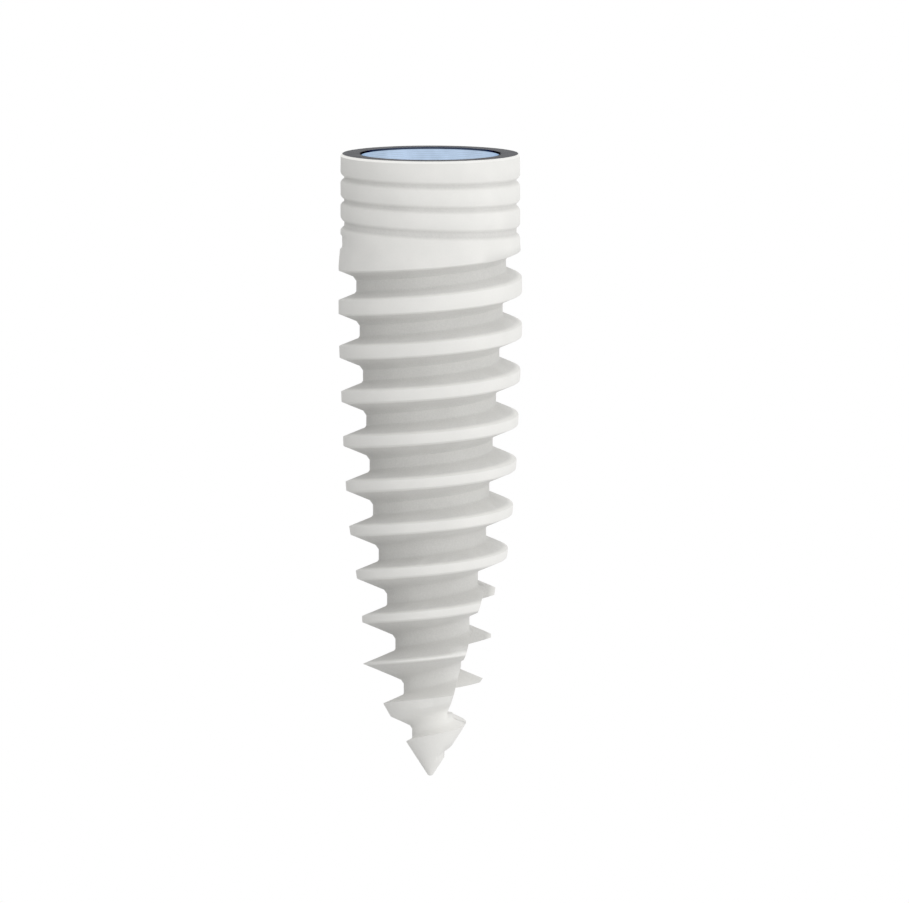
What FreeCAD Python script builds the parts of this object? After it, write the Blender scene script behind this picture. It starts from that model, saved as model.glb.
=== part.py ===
import FreeCAD, Part
import Sketcher
import math
import os
import re

# Dental implant: one screw-shaped piece, turned and milled from a titanium bar.
# Frame of the part: lying down the implant would roll, so it stands on its platform, as it
# can on a bench. The pointed apex faces +Z, and the origin is in the middle of the
# platform, on the surface that it stands on. The side that the photograph shows faces -Y.
# Frame of the body's own features: the axis is Z, and a depth is measured from the
# platform, at zero, towards the apex. Its +Y side is the one that the photograph shows.

# Sizes in millimetres, angles in degrees.
SIZES = [
    ("overall_length", 14.6, "platform to apex point"),
    ("neck_radius", 2.10, "turned neck under the platform"),
    ("rim_radius", 2.06, "outer edge of the platform, inside the rim bevel"),
    ("rim_bevel_depth", 0.05, "height of the rim bevel"),
    ("neck_length", 2.10, "depth at which the collar starts to flare"),
    ("crest_radius", 2.145, "thread crests on the parallel part"),
    ("collar_depth", 2.62, "depth at which the collar reaches the crests"),
    ("taper_depth", 4.20, "end of the parallel part"),
    ("shank_depth", 7.20, "end of the slightest taper"),
    ("shank_radius", 2.02, "crest radius at the end of the slightest taper"),
    ("waist_depth", 8.72, "end of the slow taper"),
    ("waist_radius", 1.90, "crest radius at the end of the slow taper"),
    ("apex_depth", 10.76, "start of the apical part"),
    ("apex_radius", 1.60, "crest radius at the start of the apical part"),
    ("point_depth", 12.10, "start of the pointed end"),
    ("point_radius", 1.56, "crest radius at the start of the pointed end"),
    ("tip_depth", 13.50, "start of the slimmer tip"),
    ("tip_radius", 0.76, "radius at the start of the tip"),
    ("nose_radius", 0.045, "small flat at the very end, before its edge is rounded"),
    ("nose_rounding", 0.06, "rounding of the tip's end"),
    ("pitch", 1.05, "rise of the single-start thread in one turn"),
    ("groove_top_depth", 2.566, "first turn of the thread groove, at the right side"),
    ("groove_top_radius", 1.77, "core radius at that first turn"),
    ("groove_root_width", 0.352, "bottom of the thread groove, before its corners are bevelled"),
    ("flank_angle", 22.0, "flanks, from the plane square to the axis"),
    ("upper_reach", 0.68, "groove height that clears the crests of the upper turns"),
    ("lower_reach", 0.96, "groove height that clears the crests of the lower turns"),
    ("upper_taper", 4.25, "half angle of the upper core"),
    ("lower_taper", 10.54, "half angle of the lower core"),
    ("lift_angle", 29.0, "rise of the groove as it runs out into the collar"),
    ("lift_turns", 0.64, "turns over which the groove runs out"),
    ("under_ridge_bevel", 0.075, "bevel between a ridge's lower flank and the core"),
    ("over_ridge_bevel", 0.035, "bevel between a ridge's upper flank and the core"),
    ("turn_step", 0.004, "height by which a turn ends clear of the bottom of the one above"),
    ("neck_groove_depth", 0.082, "depth of the three neck grooves"),
    ("neck_groove_slope", 40.0, "slope of the neck grooves' walls, from square"),
    ("shoulder_height", 0.02, "height of the gentle slope at a neck groove's rim"),
    ("shoulder_slope", 65.0, "that gentle slope, from square"),
    ("shoulder_rounding", 0.045, "rounding between that slope and the groove's wall"),
    ("first_groove_depth", 0.587, "place of the first neck groove"),
    ("first_groove_width", 0.05, "bottom of the first neck groove"),
    ("first_groove_lean", 0.9, "lean of the first neck groove"),
    ("second_groove_depth", 1.138, "place of the second neck groove"),
    ("second_groove_width", 0.06, "bottom of the second neck groove"),
    ("second_groove_lean", 1.4, "lean of the second neck groove"),
    ("third_groove_depth", 1.720, "place of the third neck groove"),
    ("third_groove_width", 0.12, "bottom of the third neck groove"),
    ("third_groove_lean", 2.1, "lean of the third neck groove"),
    ("flute_top_depth", 9.90, "upper end of the cutting flute"),
    ("flute_end_depth", 13.13, "lower end of the cutting flute"),
    ("flute_wall_radius", 1.35, "distance of the flute's wall from the axis at its top"),
    ("flute_wall_taper", 16.5, "lean of the flute's wall towards the point"),
    ("flute_face_offset", 0.68, "cutting face, behind the axis"),
    ("mouth_radius", 1.62, "mouth of the conical connection"),
    ("mouth_bevel", 0.04, "bevel round the mouth"),
    ("cone_depth", 1.60, "depth of the conical connection"),
    ("cone_end_radius", 1.27, "radius at the bottom of the cone"),
    ("hexagon_depth", 3.20, "depth of the driving hexagon"),
    ("hexagon_flats", 2.18, "hexagon across its flats"),
    ("screw_bore_radius", 0.80, "bore for the retaining screw"),
    ("screw_bore_depth", 7.60, "depth of the screw bore's straight wall"),
    ("drill_point_angle", 59.0, "half angle of the drilled bottom"),
]

UPPER_TURNS = 6
LOWER_TURNS = 6

# A turn of the groove runs this share of a turn past its end, so that it opens into the
# one above.
JOIN_SHARE = 0.01

# Cuts run this far past the surface that they leave through, as a share of their depth.
MARGIN = 0.3

document = FreeCAD.newDocument("DentalImplant")
sheet = document.addObject("Spreadsheet::Sheet", "Sizes")
size = {}
for row, (alias, value, note) in enumerate(SIZES, start=1):
    sheet.set("A%d" % row, alias)
    sheet.set("B%d" % row, str(value))
    sheet.set("C%d" % row, note)
    sheet.setAlias("B%d" % row, alias)
    size[alias] = value
document.recompute()

body = document.addObject("PartDesign::Body", "ImplantBody")
body.Label = "implant_body"
origin = {feature.Role: feature for feature in body.Origin.OriginFeatures}


def bound(text):
    """Turns the size names of a formula into references to the sheet."""
    return re.sub(r"[a-z_]+", lambda word: "Sizes." + word[0] if word[0] in size else word[0], text)


def tangent(angle):
    return math.tan(math.radians(size[angle]))


def total(text):
    """Adds up a sum of size names, such as 'neck_radius - neck_groove_depth'."""
    result = 0.0
    sign = 1.0
    for word in text.split():
        if word in ("+", "-"):
            sign = 1.0 if word == "+" else -1.0
        else:
            result += sign * (size[word] if word in size else float(word))
    return result


def new_sketch(name, plane, offset=None, lean=None):
    """Makes a sketch on one of the body's own planes, moved and leaned by bound sizes."""
    sketch = body.newObject("Sketcher::SketchObject", name)
    sketch.AttachmentSupport = [(origin[plane], "")]
    sketch.MapMode = "FlatFace"
    if lean:
        turn = FreeCAD.Rotation(FreeCAD.Vector(0, 0, 1), size[lean])
        sketch.AttachmentOffset = FreeCAD.Placement(FreeCAD.Vector(0, 0, 0), turn)
        sketch.setExpression("AttachmentOffset.Rotation.Angle", bound(lean))
    for direction, text in (offset or {}).items():
        sketch.setExpression("AttachmentOffset.Base." + direction, bound(text))
    return sketch


def add_outline(sketch, corners):
    """Draws a closed outline whose corners keep bound distances from the sketch's origin.

    A coordinate is a sum of size names, or a number beside the formula that gives it."""
    pairs = []
    for corner in corners:
        pairs.append([entry if isinstance(entry, tuple) else (total(entry), entry) for entry in corner])
    points = [FreeCAD.Vector(x[0], y[0], 0) for x, y in pairs]
    count = len(points)
    for index in range(count):
        sketch.addGeometry(Part.LineSegment(points[index], points[(index + 1) % count]), False)
    for index in range(count):
        sketch.addConstraint(Sketcher.Constraint("Coincident", index, 2, (index + 1) % count, 1))
    for index, pair in enumerate(pairs):
        for kind, (number, text) in zip(("DistanceX", "DistanceY"), pair):
            added = sketch.addConstraint(Sketcher.Constraint(kind, -1, 1, index, 1, number))
            sketch.setExpression("Constraints[%d]" % added, bound(text))


def round_corner(sketch, corner, radius):
    """Rounds the corner where a line of an outline starts, with a bound radius."""
    sketch.fillet(corner, 1, size[radius], True, True)
    arcs = [number for number in range(sketch.GeometryCount)
            if sketch.Geometry[number].TypeId == "Part::GeomArcOfCircle"]
    added = sketch.addConstraint(Sketcher.Constraint("Radius", arcs[-1], size[radius]))
    sketch.setExpression("Constraints[%d]" % added, bound(radius))


def turned(kind, name, sketch):
    """Revolves a sketch once round its upright axis, to make material or to cut it away."""
    feature = body.newObject("PartDesign::" + kind, name)
    feature.Profile = sketch
    feature.ReferenceAxis = (sketch, ["V_Axis"])
    feature.Angle = 360
    return feature


def round_edges(name, base, chosen, radius):
    """Rounds the edges of a feature that a test picks out."""
    document.recompute()
    picked = ["Edge%d" % number for number, edge in enumerate(base.Shape.Edges, start=1) if chosen(edge)]
    fillet = body.newObject("PartDesign::Fillet", name)
    fillet.Base = (base, picked)
    fillet.setExpression("Radius", bound(radius))


# Blank
# The outside is turned first: rim bevel, neck, collar, thread crests and point.
blank_outline = new_sketch("BlankOutline", "YZ_Plane")
add_outline(blank_outline, [
    ("0", "0"),
    ("rim_radius", "0"),
    ("neck_radius", "rim_bevel_depth"),
    ("neck_radius", "neck_length"),
    ("crest_radius", "collar_depth"),
    ("crest_radius", "taper_depth"),
    ("shank_radius", "shank_depth"),
    ("waist_radius", "waist_depth"),
    ("apex_radius", "apex_depth"),
    ("point_radius", "point_depth"),
    ("tip_radius", "tip_depth"),
    ("nose_radius", "overall_length"),
    ("0", "overall_length"),
])
blank = turned("Revolution", "Blank", blank_outline)


def is_nose_edge(edge):
    """Tells whether an edge is the ring round the flat at the very tip."""
    point = edge.valueAt(edge.FirstParameter)
    middle = edge.valueAt((edge.FirstParameter + edge.LastParameter) / 2)
    at_end = min(point.z, middle.z) > size["overall_length"] - 0.001
    return at_end and edge.Curve.TypeId == "Part::GeomCircle"


round_edges("Nose", blank, is_nose_edge, "nose_rounding")

# Neck grooves
# Three shallow grooves part the neck into bands. Each leans a little more than the one
# above it, and the third is the widest.
spare = size["neck_groove_depth"] * MARGIN
spare_text = "neck_groove_depth * %s" % MARGIN
groove_bottom = "neck_radius - neck_groove_depth"
groove_shoulder = "neck_radius - shoulder_height"
groove_outside = (size["neck_radius"] + spare, "neck_radius + " + spare_text)
wall_spread = (size["neck_groove_depth"] - size["shoulder_height"]) * tangent("neck_groove_slope")
wall_spread_text = "(neck_groove_depth - shoulder_height) * tan(neck_groove_slope * 1 deg)"
brim_spread = (size["shoulder_height"] + spare) * tangent("shoulder_slope")
brim_spread_text = "(shoulder_height + " + spare_text + ") * tan(shoulder_slope * 1 deg)"
for order in ("first", "second", "third"):
    half = size[order + "_groove_width"] / 2
    half_text = order + "_groove_width / 2"
    wall = half + wall_spread
    wall_text = half_text + " + " + wall_spread_text
    brim = wall + brim_spread
    brim_text = wall_text + " + " + brim_spread_text
    groove_outline = new_sketch(
        order.capitalize() + "GrooveOutline", "XZ_Plane",
        {"y": order + "_groove_depth"}, order + "_groove_lean")
    add_outline(groove_outline, [
        (groove_bottom, (-half, "-1 * " + half_text)),
        (groove_shoulder, (-wall, "-1 * (" + wall_text + ")")),
        (groove_outside, (-brim, "-1 * (" + brim_text + ")")),
        (groove_outside, (brim, brim_text)),
        (groove_shoulder, (wall, wall_text)),
        (groove_bottom, (half, half_text)),
    ])
    round_corner(groove_outline, 1, "shoulder_rounding")
    round_corner(groove_outline, 4, "shoulder_rounding")
    turned("Groove", order.capitalize() + "Groove", groove_outline)

# Thread
# The single-start, right-handed thread is what is left between the turns of a groove.
# The groove is cut turn by turn, each from its narrow, lower end up to the one before.
# Its bottom follows a slow cone and then a quicker one, while the blank's own outline
# cuts the crests flat: wide near the neck, and sharp near the point.


def thread_form(name, radius, depth, reach):
    """Draws the groove's section at one turn, round the middle of its bottom."""
    half = size["groove_root_width"] / 2
    half_text = "groove_root_width / 2"
    upper_corner = []
    lower_corner = []
    for height in ("under_ridge_bevel", reach):
        wide = half + size[height] * tangent("flank_angle")
        wide_text = half_text + " + " + height + " * tan(flank_angle * 1 deg)"
        upper_corner.append((height, (-wide, "-1 * (" + wide_text + ")")))
    for height in (reach, "over_ridge_bevel"):
        wide = half + size[height] * tangent("flank_angle")
        wide_text = half_text + " + " + height + " * tan(flank_angle * 1 deg)"
        lower_corner.append((height, (wide, wide_text)))
    under = half - size["under_ridge_bevel"]
    over = half - size["over_ridge_bevel"]
    sketch = new_sketch(name, "XZ_Plane", {"x": radius, "y": depth})
    add_outline(sketch, [
        ("0", (-under, "under_ridge_bevel - " + half_text)),
        *upper_corner,
        *lower_corner,
        ("0", (over, half_text + " - over_ridge_bevel")),
    ])
    return sketch


def cut_turn(name, sketch, turns, taper):
    """Cuts one turn, or part of one, that climbs from its section towards the neck."""
    helix = body.newObject("PartDesign::SubtractiveHelix", name)
    helix.Profile = sketch
    helix.ReferenceAxis = (origin["Z_Axis"], [""])
    helix.Mode = "pitch-turns-angle"
    helix.Reversed = True
    helix.LeftHanded = False
    helix.setExpression("Pitch", bound("pitch"))
    helix.setExpression("Turns", bound(turns))
    helix.setExpression("Angle", bound(taper))
    document.recompute()


lift_form = thread_form("LiftForm", "groove_top_radius", "groove_top_depth", "upper_reach")
cut_turn("LiftTurn", lift_form, "lift_turns", "lift_angle")
upper_fall = "pitch * tan(upper_taper * 1 deg)"
lower_fall = "pitch * tan(lower_taper * 1 deg)"
for number in range(1, UPPER_TURNS + 1):
    form = thread_form(
        "UpperForm%d" % number,
        "groove_top_radius - %d * %s" % (number, upper_fall),
        "groove_top_depth + %d * pitch" % number,
        "upper_reach")
    cut_turn("UpperTurn%d" % number, form, "1", "upper_taper")
for number in range(1, LOWER_TURNS + 1):
    form = thread_form(
        "LowerForm%d" % number,
        "groove_top_radius - %d * %s - %d * %s" % (UPPER_TURNS, upper_fall, number, lower_fall),
        "groove_top_depth + %d * pitch" % (UPPER_TURNS + number),
        "lower_reach")
    cut_turn(
        "LowerTurn%d" % number, form, str(1 + JOIN_SHARE),
        "atan(tan(lower_taper * 1 deg) + turn_step / pitch)")

# Cutting flute
# One L-shaped notch near the point opens the ridges on the right: a wall that follows
# the core, and a flat cutting face that looks to the photographed side.
flute_fall = size["flute_end_depth"] - size["flute_top_depth"]
wall_end = size["flute_wall_radius"] - flute_fall * tangent("flute_wall_taper")
wall_end_text = "flute_wall_radius - (flute_end_depth - flute_top_depth) * tan(flute_wall_taper * 1 deg)"
outside = (size["crest_radius"] * (1 + MARGIN), "crest_radius * %s" % (1 + MARGIN))
flute_outline = new_sketch("FluteOutline", "XZ_Plane", {"z": "flute_face_offset"})
add_outline(flute_outline, [
    ("flute_wall_radius", "flute_top_depth"),
    (outside, "flute_top_depth"),
    (outside, "flute_end_depth"),
    ((wall_end, wall_end_text), "flute_end_depth"),
])
flute = body.newObject("PartDesign::Pocket", "Flute")
flute.Profile = flute_outline
flute.Type = "ThroughAll"

# Inner connection
# A bevelled conical mouth leads to a driving hexagon, and a drilled bore below it takes
# the retaining screw.
bore_end = size["screw_bore_depth"] + size["screw_bore_radius"] / tangent("drill_point_angle")
bore_end_text = "screw_bore_depth + screw_bore_radius / tan(drill_point_angle * 1 deg)"
connection_outline = new_sketch("ConnectionOutline", "XZ_Plane")
add_outline(connection_outline, [
    ("0", "0"),
    ("mouth_radius + mouth_bevel", "0"),
    ("mouth_radius", "mouth_bevel"),
    ("cone_end_radius", "cone_depth"),
    ("screw_bore_radius", "cone_depth"),
    ("screw_bore_radius", "screw_bore_depth"),
    ("0", (bore_end, bore_end_text)),
])
turned("Groove", "Connection", connection_outline)

half_flats = size["hexagon_flats"] / 2
corner_reach = size["hexagon_flats"] / math.sqrt(3)
half_flats_text = "hexagon_flats / 2"
corner_text = "hexagon_flats / sqrt(3)"
hexagon_outline = new_sketch("HexagonOutline", "XY_Plane", {"z": "cone_depth"})
add_outline(hexagon_outline, [
    ((corner_reach, corner_text), "0"),
    ((corner_reach / 2, corner_text + " / 2"), (half_flats, half_flats_text)),
    ((-corner_reach / 2, "-1 * " + corner_text + " / 2"), (half_flats, half_flats_text)),
    ((-corner_reach, "-1 * " + corner_text), "0"),
    ((-corner_reach / 2, "-1 * " + corner_text + " / 2"), (-half_flats, "-1 * " + half_flats_text)),
    ((corner_reach / 2, corner_text + " / 2"), (-half_flats, "-1 * " + half_flats_text)),
])
hexagon = body.newObject("PartDesign::Pocket", "Hexagon")
hexagon.Profile = hexagon_outline
hexagon.Reversed = True
hexagon.setExpression("Length", bound("hexagon_depth - cone_depth"))

# Placement
# The implant stands on its platform, with the photographed side turned to the front.
body.Placement = FreeCAD.Placement(
    FreeCAD.Vector(0, 0, 0), FreeCAD.Rotation(FreeCAD.Vector(0, 0, 1), 180))
document.recompute()

# Checks and export
for item in document.Objects:
    if "Invalid" in item.State or "Error" in item.State:
        raise RuntimeError("%s was not built" % item.Name)
if body.Shape.isNull() or not body.Shape.isValid() or len(body.Shape.Solids) != 1:
    raise RuntimeError("the implant is not one valid solid")
os.makedirs("parts", exist_ok=True)
body.Shape.exportStep("parts/" + body.Label + ".step")
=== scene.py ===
import math

import bmesh
import bpy
from mathutils import Matrix, Vector


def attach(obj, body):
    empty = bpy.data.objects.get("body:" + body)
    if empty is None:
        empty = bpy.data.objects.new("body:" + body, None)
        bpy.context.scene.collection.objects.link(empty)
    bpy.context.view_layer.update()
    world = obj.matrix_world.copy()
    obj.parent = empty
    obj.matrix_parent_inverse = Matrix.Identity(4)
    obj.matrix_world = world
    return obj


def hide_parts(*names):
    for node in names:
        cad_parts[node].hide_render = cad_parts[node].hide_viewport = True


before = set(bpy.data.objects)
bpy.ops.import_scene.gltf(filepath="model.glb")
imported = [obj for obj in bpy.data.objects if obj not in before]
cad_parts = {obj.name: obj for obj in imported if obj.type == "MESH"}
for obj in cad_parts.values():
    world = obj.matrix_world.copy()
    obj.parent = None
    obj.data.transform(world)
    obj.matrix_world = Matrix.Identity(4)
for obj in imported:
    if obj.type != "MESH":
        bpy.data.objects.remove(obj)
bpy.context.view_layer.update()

# Implant body
# One screw of titanium, turned from bar, with its thread and flute milled. The outside is
# blasted and etched to a matt pale grey. The platform and the connection inside it are
# left smooth and anodised blue.
MM = 0.001
SAME_PLACE = 0.0002 * MM
SOFT_EDGE = 0.016 * MM
COLLAR_DEPTH = 2.4 * MM
CUTTING_DEPTH = 11.45 * MM
LEAST_THREAD_RADIUS = 1.3 * MM
FLAT_ANGLE = math.radians(4)
RIDGE_ANGLE = math.radians(24)
CREASE_ANGLE = math.radians(26)
cut_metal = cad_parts["implant_body"]
shape = bmesh.new()
shape.from_mesh(cut_metal.data)
bmesh.ops.remove_doubles(shape, verts=shape.verts, dist=SAME_PLACE)
bmesh.ops.dissolve_degenerate(shape, edges=shape.edges, dist=SAME_PLACE)


def is_on_thread(edge):
    """Says whether an edge lies on the thread. The neck's turned edges are soft enough as
    they are, and the cutting edges near the apex stay sharp."""
    for corner in edge.verts:
        if not COLLAR_DEPTH < corner.co.z < CUTTING_DEPTH:
            return False
        if math.hypot(corner.co.x, corner.co.y) < LEAST_THREAD_RADIUS:
            return False
    return True


def is_ridge(edge):
    """Says whether an edge stands proud, where blasting rounds it off."""
    return edge.is_manifold and edge.is_convex and edge.calc_face_angle(0.0) > RIDGE_ANGLE


thread_edges = [edge for edge in shape.edges if is_on_thread(edge)]
bmesh.ops.dissolve_limit(
    shape, angle_limit=FLAT_ANGLE, verts=[], edges=thread_edges, delimit={"NORMAL"})
ridges = [edge for edge in shape.edges if is_on_thread(edge) and is_ridge(edge)]
bmesh.ops.bevel(
    shape, geom=ridges, offset=SOFT_EDGE, offset_type="OFFSET", segments=2, profile=0.5,
    affect="EDGES", clamp_overlap=False, material=-1)

# Where each finish ends
BLASTED = 0
PLATFORM = 1
CONNECTION = 2
MOUTH_BEVEL = 0.03 * MM
RIM_RADIUS = 2.06 * MM
CONNECTION_RADIUS = 1.67 * MM
CONNECTION_TAPER = 0.1
CONNECTION_DEPTH = 8.3 * MM


def finish_of(face):
    """Gives the number of a face's material: blasted outside, and anodised on the platform
    and in the connection, whose room narrows with depth."""
    middle = face.calc_center_median()
    radius = math.hypot(middle.x, middle.y)
    if middle.z < MOUTH_BEVEL and radius < RIM_RADIUS:
        return PLATFORM
    if middle.z < CONNECTION_DEPTH and radius < CONNECTION_RADIUS - CONNECTION_TAPER * middle.z:
        return CONNECTION
    return BLASTED


for face in shape.faces:
    face.smooth = True
    face.material_index = finish_of(face)
implant_mesh = bpy.data.meshes.new("implant")
shape.to_mesh(implant_mesh)
shape.free()
implant_mesh.set_sharp_from_angle(angle=CREASE_ANGLE)
implant = bpy.data.objects.new("implant", implant_mesh)
bpy.context.scene.collection.objects.link(implant)
flat_faces = implant.modifiers.new("flat_faces", "WEIGHTED_NORMAL")
flat_faces.mode = "FACE_AREA"
flat_faces.weight = 100
flat_faces.keep_sharp = True


def add_node(tree, kind, values=(), **settings):
    """Adds one shader node, with its settings and the values of its named inputs."""
    node = tree.nodes.new("ShaderNode" + kind)
    for name, value in settings.items():
        setattr(node, name, value)
    for socket, value in dict(values).items():
        node.inputs[socket].default_value = value
    return node


def calculate(tree, operation, first, second=0.0):
    """Adds a Math node between two sockets or numbers, and gives its result."""
    node = add_node(tree, "Math", operation=operation)
    for place, value in enumerate((first, second)):
        if isinstance(value, (int, float)):
            node.inputs[place].default_value = value
        else:
            tree.links.new(value, node.inputs[place])
    return node.outputs[0]


def remap(tree, source, low, high, start=0.0, stop=1.0):
    """Adds a Map Range node that turns start to stop of a socket into low to high."""
    node = add_node(tree, "MapRange", {
        "From Min": start, "From Max": stop, "To Min": low, "To Max": high})
    tree.links.new(source, node.inputs["Value"])
    return node.outputs["Result"]


# The crests' outline down to the point, which tells crest from root
CREST_RADIUS = 2.145 * MM
TAPER_START = 4.2 * MM
STEEPER_START = 8.72 * MM
STEEPER_RADIUS = 1.90 * MM
POINT_START = 10.76 * MM
POINT_NARROWING = 0.30 * MM
THREAD_FADES = 12.0 * MM
THREAD_GONE = 12.8 * MM
FLANK_TOP = 0.05 * MM
FLANK_FOOT = 0.15 * MM
BRIGHT_RIM = 0.052 * MM


def place_group():
    """Builds the group that gives how deep below the platform a point is, how far it is
    from the axis, how near it is to the thread's root, and whether it is on the rim."""
    group = bpy.data.node_groups.new("place_on_implant", "ShaderNodeTree")
    for label in ("Depth", "Radius", "Root", "Rim"):
        group.interface.new_socket(label, in_out="OUTPUT", socket_type="NodeSocketFloat")
    coordinates = add_node(group, "TexCoord")
    split = add_node(group, "SeparateXYZ")
    group.links.new(coordinates.outputs["Object"], split.inputs[0])
    depth = split.outputs["Z"]
    across = calculate(group, "MULTIPLY", split.outputs["X"], split.outputs["X"])
    along = calculate(group, "MULTIPLY", split.outputs["Y"], split.outputs["Y"])
    radius = calculate(group, "SQRT", calculate(group, "ADD", across, along))
    taper = remap(group, depth, CREST_RADIUS, STEEPER_RADIUS, TAPER_START, STEEPER_START)
    narrowing = remap(group, depth, 0.0, -POINT_NARROWING, STEEPER_START, POINT_START)
    crest_radius = calculate(group, "ADD", taper, narrowing)
    below_crest = calculate(group, "SUBTRACT", crest_radius, radius)
    flank = remap(group, below_crest, 0.0, 1.0, FLANK_TOP, FLANK_FOOT)
    fading = remap(group, depth, 1.0, 0.0, THREAD_FADES, THREAD_GONE)
    places = {
        "Depth": depth,
        "Radius": radius,
        "Root": calculate(group, "MULTIPLY", flank, fading),
        "Rim": calculate(group, "LESS_THAN", depth, BRIGHT_RIM)}
    result = group.nodes.new("NodeGroupOutput")
    for label, value in places.items():
        group.links.new(value, result.inputs[label])
    return group


place_on_implant = place_group()


def new_finish(name):
    """Makes a material, and gives it with its shader and the place group in it."""
    material = bpy.data.materials.new(name)
    material.use_nodes = True
    place = material.node_tree.nodes.new("ShaderNodeGroup")
    place.node_tree = place_on_implant
    return material, material.node_tree.nodes["Principled BSDF"], place.outputs


def noise(tree, scale, detail, roughness=0.5):
    """Adds a noise that keeps its place on the metal, and gives its value."""
    coordinates = add_node(tree, "TexCoord")
    grain = add_node(tree, "TexNoise", {"Scale": scale, "Detail": detail, "Roughness": roughness})
    tree.links.new(coordinates.outputs["Object"], grain.inputs["Vector"])
    return grain.outputs["Fac"]


def colour_metal(tree, shader, colour, shade):
    """Links a colour, made lighter or darker by a shade, to the shader."""
    metal = add_node(tree, "VectorMath", operation="SCALE")
    metal.inputs[0].default_value = colour
    tree.links.new(shade, metal.inputs["Scale"])
    tree.links.new(metal.outputs["Vector"], shader.inputs["Base Color"])


def emboss(tree, shader, height, strength, distance):
    """Lets a height change how the surface catches light."""
    bump = add_node(tree, "Bump", {"Strength": strength, "Distance": distance})
    tree.links.new(height, bump.inputs["Height"])
    tree.links.new(bump.outputs["Normal"], shader.inputs["Normal"])


# The blasted finish
NOISE_LOW = 0.3
NOISE_MIDDLE = 0.5
NOISE_HIGH = 0.7
TITANIUM = (0.800, 0.794, 0.770)
GRAINS_A_METRE = 26000.0
GRAIN_HEIGHT = 0.004 * MM
CREST_GRAIN = 0.06
ROOT_GRAIN = 0.22
CLOUDS_A_METRE = 1200.0
CLOUD_TONE = 0.025
# Painted shade: the colour is darker by this in the thread's root, where shade falls.
ROOT_PAINTED_SHADE = 0.82
# Painted highlight: the colour is lighter by this on the rim.
RIM_PAINTED_HIGHLIGHT = 1.15
BLASTED_ROUGHNESS = 0.68
RIM_ROUGHNESS = 0.35
BLASTED_METALLIC = 0.10
RIM_METALLIC = 0.80


def implant_material():
    """Blasted and etched titanium, more grainy in the thread's root and darker there by painted
    shade, and with a narrow rim at the platform that the last turning cut leaves smoother,
    lightened by a painted highlight."""
    material, shader, place = new_finish("blasted_titanium")
    tree = material.node_tree
    root, rim = place["Root"], place["Rim"]
    shader.inputs["Specular IOR Level"].default_value = 0.35
    grain = noise(tree, GRAINS_A_METRE, detail=3.0, roughness=0.6)
    cloud = noise(tree, CLOUDS_A_METRE, detail=2.0)
    tone = remap(tree, cloud, 1.0 - CLOUD_TONE, 1.0 + CLOUD_TONE, NOISE_LOW, NOISE_HIGH)
    grain_depth = remap(tree, root, CREST_GRAIN, ROOT_GRAIN)
    centred = calculate(tree, "SUBTRACT", grain, NOISE_MIDDLE)
    speck = calculate(tree, "ADD", calculate(tree, "MULTIPLY", centred, grain_depth), 1.0)
    # Painted shade: the colour darkens towards the thread's root.
    shade = calculate(tree, "MULTIPLY", tone, remap(tree, root, 1.0, ROOT_PAINTED_SHADE))
    shade = calculate(tree, "MULTIPLY", shade, speck)
    # Painted highlight: the colour lightens on the rim, where its edge catches the light.
    shade = calculate(tree, "MULTIPLY", shade, remap(tree, rim, 1.0, RIM_PAINTED_HIGHLIGHT))
    colour_metal(tree, shader, TITANIUM, shade)
    roughness = remap(tree, rim, BLASTED_ROUGHNESS, RIM_ROUGHNESS)
    tree.links.new(roughness, shader.inputs["Roughness"])
    metallic = remap(tree, rim, BLASTED_METALLIC, RIM_METALLIC)
    tree.links.new(metallic, shader.inputs["Metallic"])
    off_the_rim = calculate(tree, "SUBTRACT", 1.0, rim)
    blasted = calculate(tree, "MULTIPLY", grain, off_the_rim)
    emboss(tree, shader, blasted, strength=0.25, distance=GRAIN_HEIGHT)
    return material


# The anodised finishes. One blue oxide, coloured dark on the platform as a painted dark
# reflection and light in the connection and bore as a painted bright reflection
# Painted dark reflection: the platform's blue and glancing tint are near black.
PLATFORM_PAINTED_DARK_BLUE = (0.036, 0.052, 0.088)
PLATFORM_PAINTED_DARK_GLANCE = (0.000, 0.008, 0.035)
# Painted bright reflection: the connection's blue and glancing tint are made light.
CONNECTION_PAINTED_LIGHT_BLUE = (0.460, 0.575, 0.740)
CONNECTION_PAINTED_LIGHT_GLANCE = (0.55, 0.68, 0.85)
RING_SPACING = 0.035 * MM
RING_HEIGHT = 0.0008 * MM
RING_TONE = 0.05
DRIFTS_A_METRE = 2200.0
DRIFT_TONE = 0.10
POLISH_DRIFT = 0.2


def anodised_material(name, colour, glancing_colour, roughness):
    """Smooth turned titanium under a coloured oxide, with the fine rings of the tool and
    a slight drift of the oxide's colour. Seen at a glancing angle it has another tint. The
    colour and tint it is given carry painted reflection, dark or bright."""
    material, shader, place = new_finish(name)
    tree = material.node_tree
    shader.inputs["Metallic"].default_value = 1.0
    shader.inputs["Specular Tint"].default_value = (*glancing_colour, 1.0)
    along = calculate(tree, "ADD", place["Depth"], place["Radius"])
    rings = calculate(tree, "SINE", calculate(tree, "MULTIPLY", along, math.tau / RING_SPACING))
    drift = noise(tree, DRIFTS_A_METRE, detail=2.0)
    tone = remap(tree, drift, 1.0 - DRIFT_TONE, 1.0 + DRIFT_TONE, NOISE_LOW, NOISE_HIGH)
    shade = calculate(tree, "ADD", tone, calculate(tree, "MULTIPLY", rings, RING_TONE))
    colour_metal(tree, shader, colour, shade)
    smoother = roughness * (1.0 - POLISH_DRIFT)
    rougher = roughness * (1.0 + POLISH_DRIFT)
    polish = remap(tree, drift, smoother, rougher, NOISE_LOW, NOISE_HIGH)
    tree.links.new(polish, shader.inputs["Roughness"])
    emboss(tree, shader, rings, strength=0.2, distance=RING_HEIGHT)
    return material


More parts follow.
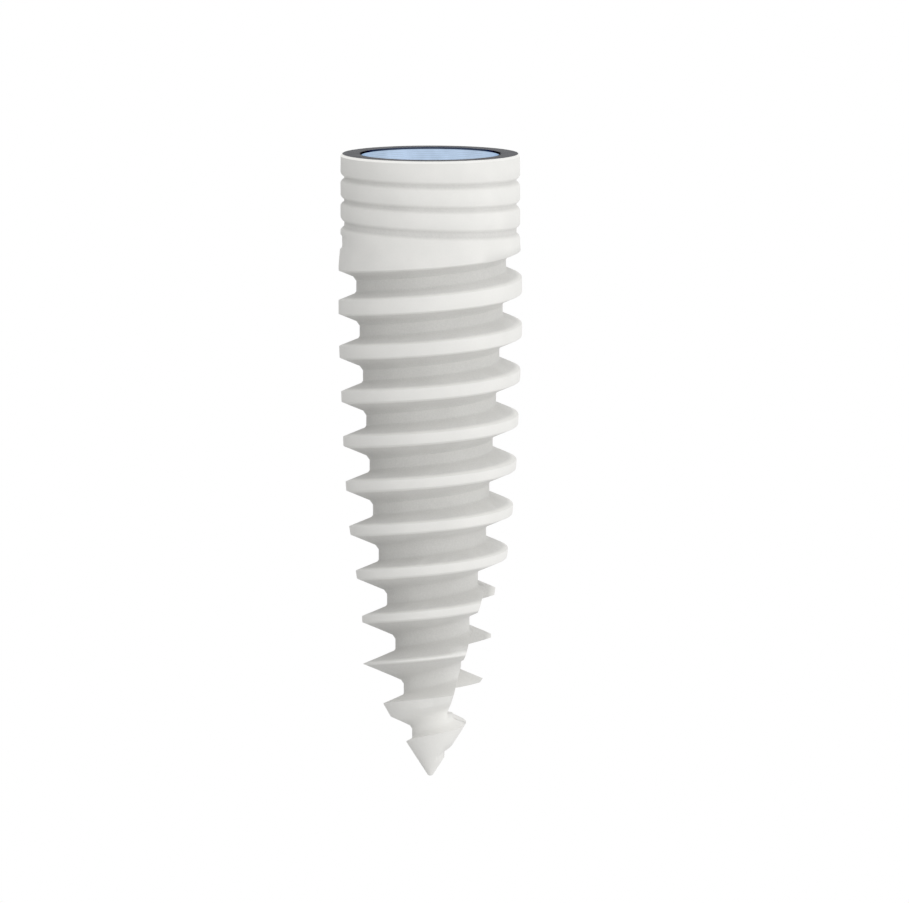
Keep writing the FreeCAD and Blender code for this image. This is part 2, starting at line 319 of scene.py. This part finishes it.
# The platform's dark blue and the connection's light blue are one oxide, painted as dark and
# bright reflection.
finishes = (
    implant_material(),
    anodised_material("anodised_platform_painted_dark", PLATFORM_PAINTED_DARK_BLUE, PLATFORM_PAINTED_DARK_GLANCE, roughness=0.16),
    anodised_material("anodised_connection_painted_light", CONNECTION_PAINTED_LIGHT_BLUE, CONNECTION_PAINTED_LIGHT_GLANCE, roughness=0.20))
for finish in finishes:
    implant_mesh.materials.append(finish)
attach(implant, "root")
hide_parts("implant_body")

# Bore thread
# The fine thread of the abutment's retaining screw, cut in the bore below the hexagon. Its
# crests stand into the bore, and its roots lie on the bore's wall.
BORE_RADIUS = 0.80 * MM
BORE_THREAD_TOP = 3.45 * MM
BORE_PITCH = 0.35 * MM
BORE_TURNS = 10
STEPS_A_TURN = 48
TOOTH_HEIGHT = 0.10 * MM
TOOTH_ROOT = 0.29 * MM
TOOTH_CREST = 0.06 * MM
WALL_LAP = 0.01 * MM
tooth = bmesh.new()
outline = [
    tooth.verts.new((radius, 0.0, BORE_THREAD_TOP + height)) for radius, height in (
        (BORE_RADIUS + WALL_LAP, -TOOTH_ROOT / 2),
        (BORE_RADIUS - TOOTH_HEIGHT, -TOOTH_CREST / 2),
        (BORE_RADIUS - TOOTH_HEIGHT, TOOTH_CREST / 2),
        (BORE_RADIUS + WALL_LAP, TOOTH_ROOT / 2))]
profile = tooth.faces.new(outline)
bmesh.ops.duplicate(tooth, geom=[profile])
bmesh.ops.spin(
    tooth, geom=[profile], axis=(0.0, 0.0, 1.0), cent=(0.0, 0.0, 0.0),
    dvec=(0.0, 0.0, BORE_PITCH / STEPS_A_TURN), angle=math.tau * BORE_TURNS,
    steps=BORE_TURNS * STEPS_A_TURN)
bmesh.ops.remove_doubles(tooth, verts=tooth.verts, dist=SAME_PLACE)
bmesh.ops.recalc_face_normals(tooth, faces=tooth.faces)
bore_mesh = bpy.data.meshes.new("bore_thread")
tooth.to_mesh(bore_mesh)
tooth.free()
# Painted bright reflection: the bore's thread takes the connection's light blue.
bore_mesh.materials.append(
    anodised_material("anodised_bore_painted_light", CONNECTION_PAINTED_LIGHT_BLUE, CONNECTION_PAINTED_LIGHT_GLANCE, roughness=0.25))
bore_thread = bpy.data.objects.new("bore_thread", bore_mesh)
bpy.context.scene.collection.objects.link(bore_thread)
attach(bore_thread, "root")

# Camera
# The photograph shows the implant tip down, with no visible perspective, from a little
# beyond its platform. Standing on that platform it is the other way up, so the camera is
# turned over too, and looks from just below the floor, which can be seen through there.
PICTURE_WIDTH = 909
PICTURE_HEIGHT = 903
PIXELS_PER_METRE = 42780.0
TILT = math.radians(5.2)
PLATFORM_COLUMN = 430.3
PLATFORM_ROW = 153.5
CAMERA_DISTANCE = 0.1
back = Vector((0.0, -math.cos(TILT), -math.sin(TILT)))
up = Vector((0.0, math.sin(TILT), -math.cos(TILT)))
right = up.cross(back)
sideways = (PICTURE_WIDTH / 2 - PLATFORM_COLUMN) / PIXELS_PER_METRE
downwards = (PICTURE_HEIGHT / 2 - PLATFORM_ROW) / PIXELS_PER_METRE
aim = right * sideways - up * downwards
lens = bpy.data.cameras.new("camera")
lens.type = "ORTHO"
lens.ortho_scale = PICTURE_WIDTH / PIXELS_PER_METRE
lens.clip_start = 0.001
lens.clip_end = 1.0
camera = bpy.data.objects.new("camera", lens)
turn = Matrix((right, up, back)).transposed()
camera.matrix_world = Matrix.Translation(aim + back * CAMERA_DISTANCE) @ turn.to_4x4()
bpy.context.scene.collection.objects.link(camera)
bpy.context.scene.camera = camera

# Studio light
# A white surround that is brighter on the photographed side, towards the flute and the
# platform, as soft boxes make it. The camera, and what metal reflects, see plain white.
LIT_SIDE = Vector((-0.76, -0.55, -0.34)).normalized()
DIM_LEVEL = 0.29
LIT_LEVEL = 1.27
world = bpy.data.worlds.new("studio")
bpy.context.scene.world = world
world.use_nodes = True
tree = world.node_tree
surround = tree.nodes["Background"]
surround.inputs["Color"].default_value = (1.0, 1.0, 1.0, 1.0)
direction = add_node(tree, "TexCoord")
facing = add_node(tree, "VectorMath", operation="DOT_PRODUCT")
facing.inputs[1].default_value = LIT_SIDE
tree.links.new(direction.outputs["Generated"], facing.inputs[0])
level = remap(tree, facing.outputs["Value"], DIM_LEVEL, LIT_LEVEL, start=-1.0)
path = add_node(tree, "LightPath")
plain = calculate(tree, "MAXIMUM", path.outputs["Is Camera Ray"], path.outputs["Is Glossy Ray"])
plain = calculate(tree, "MAXIMUM", plain, path.outputs["Is Transmission Ray"])
strength = add_node(tree, "Mix")
strength.inputs["B"].default_value = 1.0
tree.links.new(plain, strength.inputs["Factor"])
tree.links.new(level, strength.inputs["A"])
tree.links.new(strength.outputs["Result"], surround.inputs["Strength"])

# Floor
# A sheet of white translucent plastic, lit from below as well, as a photographer's light
# table is. It looks white and hardly shows a shadow, and from below it isn't seen.
FLOOR_REACH = 2.0
FLOOR_GAP = 0.01 * MM
GLOW_SHARE = 0.9
sheet_mesh = bpy.data.meshes.new("floor")
sheet = bmesh.new()
bmesh.ops.create_grid(sheet, x_segments=1, y_segments=1, size=FLOOR_REACH)
bmesh.ops.translate(sheet, verts=sheet.verts, vec=(0.0, 0.0, -FLOOR_GAP))
sheet.to_mesh(sheet_mesh)
sheet.free()
floor = bpy.data.objects.new("floor", sheet_mesh)
bpy.context.scene.collection.objects.link(floor)
paper = bpy.data.materials.new("white_paper")
paper.use_nodes = True
tree = paper.node_tree
matt = tree.nodes["Principled BSDF"]
matt.inputs["Base Color"].default_value = (0.85, 0.85, 0.85, 1.0)
matt.inputs["Roughness"].default_value = 0.9
glow = add_node(tree, "Emission")
blend = add_node(tree, "MixShader")
blend.inputs[0].default_value = GLOW_SHARE
tree.links.new(matt.outputs[0], blend.inputs[1])
tree.links.new(glow.outputs[0], blend.inputs[2])
side = add_node(tree, "NewGeometry")
path = add_node(tree, "LightPath")
not_seen = calculate(tree, "SUBTRACT", 1.0, path.outputs["Is Camera Ray"])
through = calculate(tree, "MAXIMUM", not_seen, side.outputs["Backfacing"])
clear = add_node(tree, "BsdfTransparent")
sheet_finish = add_node(tree, "MixShader")
tree.links.new(through, sheet_finish.inputs[0])
tree.links.new(blend.outputs[0], sheet_finish.inputs[1])
tree.links.new(clear.outputs[0], sheet_finish.inputs[2])
tree.links.new(sheet_finish.outputs[0], tree.nodes["Material Output"].inputs["Surface"])
floor.data.materials.append(paper)

bpy.context.scene.view_settings.view_transform = "Standard"
